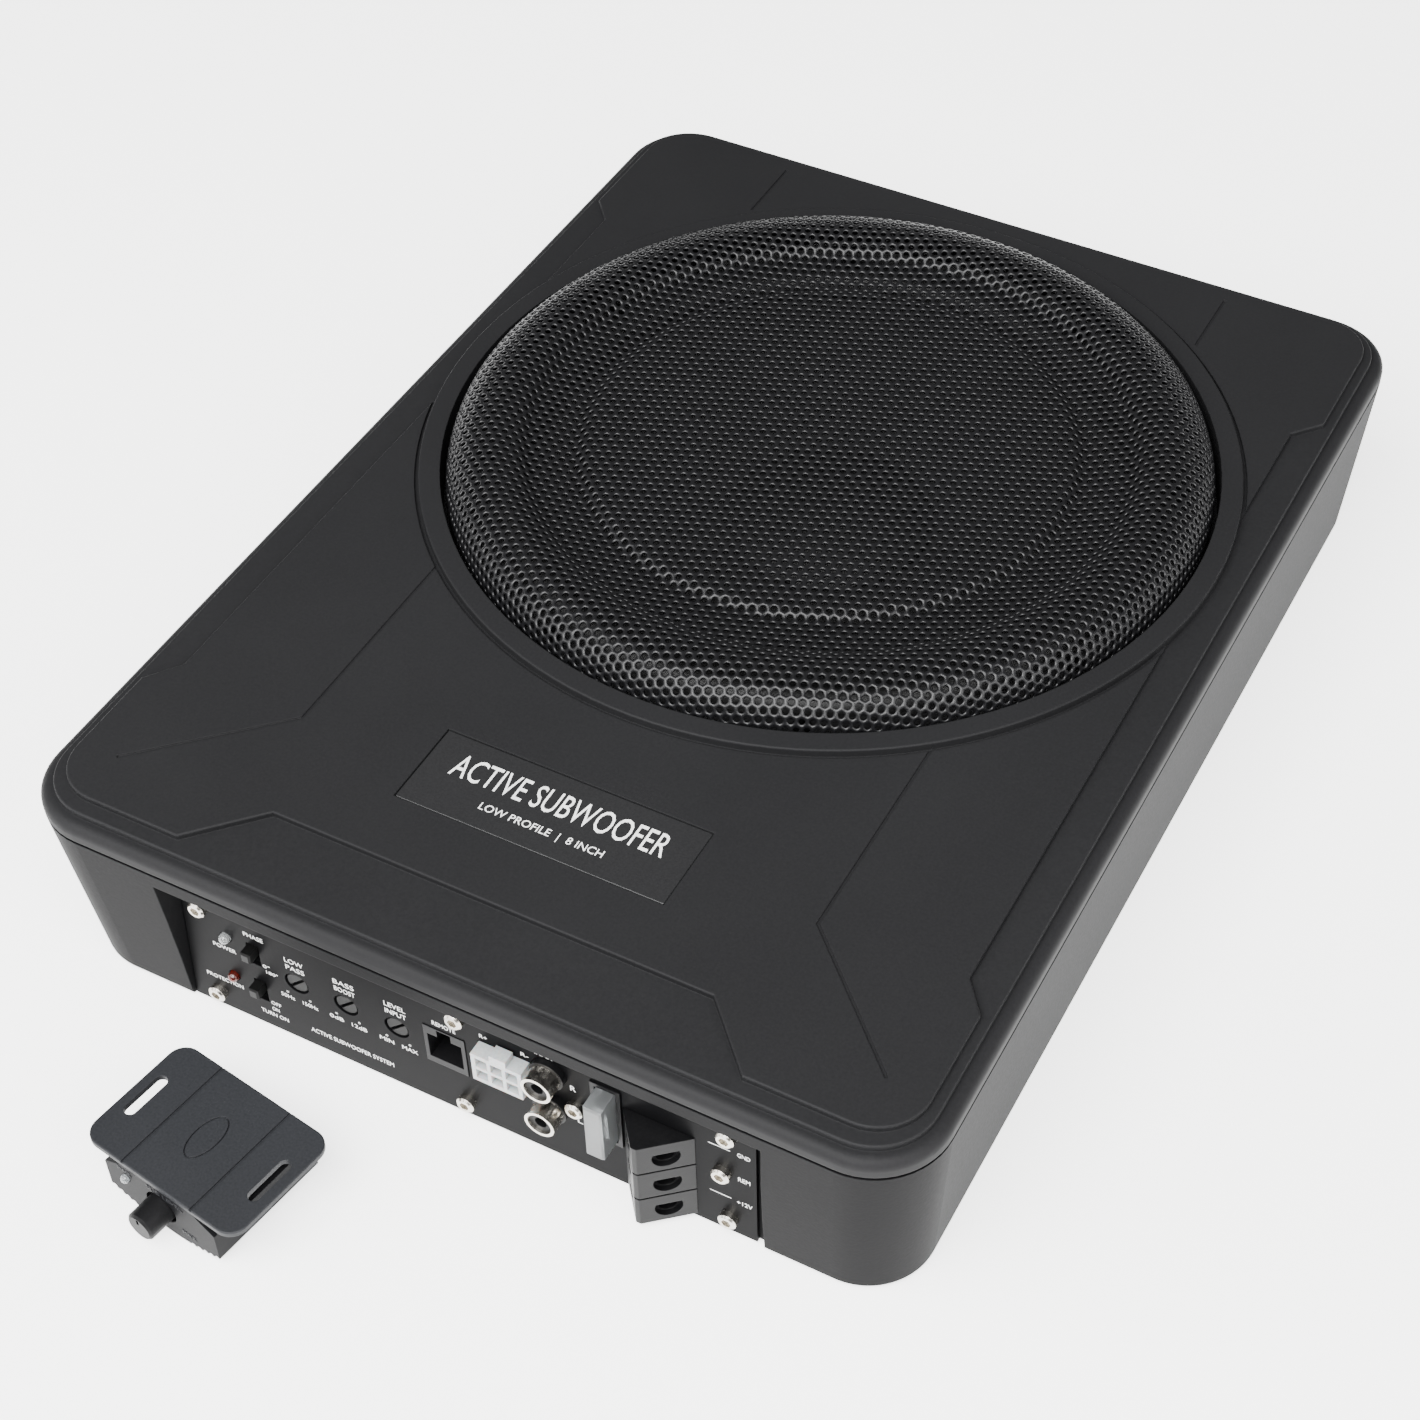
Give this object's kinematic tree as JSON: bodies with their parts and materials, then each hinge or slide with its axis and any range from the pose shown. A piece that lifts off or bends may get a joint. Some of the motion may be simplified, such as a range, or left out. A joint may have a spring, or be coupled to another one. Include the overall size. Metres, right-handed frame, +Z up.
{
  "type": "powered car subwoofer",
  "caption": "Shallow powered car subwoofer with a round domed grille, a connector panel at one end and a separate wired level control.",
  "frame": {"origin": "on the floor, under the middle of the case, on the underside of the middle rubber pad", "axes": "+X to the right along the connector panel, +Y from the connector panel towards the driver end, +Z up"},
  "size_m": [0.25, 0.3986, 0.0745],
  "materials": {
    "cast_shell": "fine-textured matte black powder coat",
    "moulded_cover": "fine spark-eroded texture, matte black",
    "foot_rubber": "matte",
    "black_screw": "black zinc",
    "grille_steel": "satin black powder coat, round holes in staggered rows",
    "badge_vinyl": "satin black plate with white print",
    "basket_steel": "black e-coat",
    "gasket_foam": "closed-cell foam",
    "plated_steel": "zinc plated",
    "ferrite": "sintered ferrite",
    "coil_former": "copper wire on an aluminium former",
    "cone_poly": "pressed fibre cone, matte",
    "surround_rubber": "butyl, satin",
    "spider_cloth": "resin-stiffened cotton",
    "board_laminate": "green solder mask",
    "panel_steel": "satin black powder coat with white legends",
    "nickel_screw": "bright nickel plate",
    "clear_lens": "water-clear epoxy",
    "red_lens": "tinted epoxy",
    "black_nylon": "moulded satin",
    "black_acetal": "moulded satin",
    "natural_nylon": "natural milky nylon",
    "tinned_brass": "tin plated",
    "clear_fuse": "clear moulding",
    "cast_aluminium": "mill finish",
    "steel_post": "plated",
    "coil_wrap": "enamelled wire and tape",
    "capacitor_sleeve": "shrink sleeve",
    "remote_abs": "fine-textured black",
    "remote_knob_abs": "satin black"
  },
  "bodies": {
    "enclosure": {"lower_shell": "cast_shell", "top_cover": "moulded_cover", "rubber_feet": "foot_rubber", "cover_screws": "black_screw", "driver_screws": "black_screw", "grille": "grille_steel", "badge_plate": "badge_vinyl", "driver_basket": "basket_steel", "driver_gasket": "gasket_foam", "top_plate": "plated_steel", "back_plate": "plated_steel", "magnet": "ferrite", "surround": "surround_rubber", "spider": "spider_cloth", "driver_terminals": "board_laminate", "amplifier_board": "board_laminate", "connector_panel": "panel_steel", "panel_screws": "nickel_screw", "terminal_clamps": "nickel_screw", "rca_shells": "nickel_screw", "power_led": "clear_lens", "protection_led": "red_lens", "phase_switch_body": "black_nylon", "turn_on_switch_body": "black_nylon", "low_pass_pot": "black_nylon", "bass_boost_pot": "black_nylon", "level_pot": "black_nylon", "remote_jack": "black_nylon", "rca_block": "black_nylon", "rca_contacts": "black_nylon", "fuse_holder": "black_nylon", "terminal_block": "black_nylon", "high_level_socket": "natural_nylon", "high_level_pins": "tinned_brass", "heatsink": "cast_aluminium", "board_standoffs": "steel_post", "transformer": "coil_wrap", "capacitors": "capacitor_sleeve"},
    "cone_assembly": {"cone": "cone_poly", "dust_cap": "cone_poly", "voice_coil": "coil_former"},
    "phase_switch": {"phase_switch_lever": "black_acetal"},
    "turn_on_switch": {"turn_on_switch_lever": "black_acetal"},
    "low_pass_control": {"low_pass_shaft": "black_acetal"},
    "bass_boost_control": {"bass_boost_shaft": "black_acetal"},
    "level_control": {"level_shaft": "black_acetal"},
    "fuse": {"blade_fuse": "clear_fuse", "fuse_blades": "tinned_brass"},
    "clamp_screw_1": {"terminal_screw_1": "nickel_screw"},
    "clamp_screw_2": {"terminal_screw_2": "nickel_screw"},
    "clamp_screw_3": {"terminal_screw_3": "nickel_screw"},
    "remote_unit": {"remote_housing": "remote_abs", "remote_bracket": "remote_abs", "remote_screws": "nickel_screw", "remote_pot": "black_nylon", "remote_led": "clear_lens", "remote_socket": "black_nylon"},
    "remote_dial": {"remote_knob": "remote_knob_abs"}
  },
  "joints": [
    {"name": "cone_travel", "type": "slide", "parent": "enclosure", "child": "cone_assembly", "axis": [0, 0, 1], "range_m": [-0.004, 0.004], "stiffness_N_per_m": 5000, "deforming": ["surround", "spider"]},
    {"name": "phase_switch_slide", "type": "slide", "parent": "enclosure", "child": "phase_switch", "axis": [0, 0, 1], "range_m": [-0.0038, 0]},
    {"name": "turn_on_switch_slide", "type": "slide", "parent": "enclosure", "child": "turn_on_switch", "axis": [0, 0, 1], "range_m": [-0.0038, 0]},
    {"name": "low_pass_turn", "type": "hinge", "parent": "enclosure", "child": "low_pass_control", "pos_m": [-0.0484, -0.161, 0.025], "axis": [0, -1, 0], "range_deg": [-140, 140]},
    {"name": "bass_boost_turn", "type": "hinge", "parent": "enclosure", "child": "bass_boost_control", "pos_m": [-0.0336, -0.161, 0.025], "axis": [0, -1, 0], "range_deg": [-140, 140]},
    {"name": "level_turn", "type": "hinge", "parent": "enclosure", "child": "level_control", "pos_m": [-0.0186, -0.161, 0.025], "axis": [0, -1, 0], "range_deg": [-140, 140]},
    {"name": "fuse_pull", "type": "slide", "parent": "enclosure", "child": "fuse", "axis": [0, -1, 0], "range_m": [0, 0.02]},
    {"name": "clamp_screw_1_turn", "type": "hinge", "parent": "enclosure", "child": "clamp_screw_1", "pos_m": [0.0497, -0.1656, 0.0074], "axis": [-0.7792, -0.6268, 0], "range_deg": [-360, 0]},
    {"name": "clamp_screw_2_turn", "type": "hinge", "parent": "enclosure", "child": "clamp_screw_2", "pos_m": [0.0497, -0.1656, 0.0178], "axis": [-0.7792, -0.6268, 0], "range_deg": [-360, 0]},
    {"name": "clamp_screw_3_turn", "type": "hinge", "parent": "enclosure", "child": "clamp_screw_3", "pos_m": [0.0497, -0.1656, 0.0282], "axis": [-0.7792, -0.6268, 0], "range_deg": [-360, 0]},
    {"name": "remote_lift", "type": "slide", "parent": "enclosure", "child": "remote_unit", "axis": [0, 0, 1], "range_m": [0, 0.05]},
    {"name": "remote_dial_turn", "type": "hinge", "parent": "remote_unit", "child": "remote_dial", "pos_m": [-0.04766, -0.22279, 0.009], "axis": [-0.1564, -0.9877, 0], "range_deg": [-140, 140]}
  ]
}
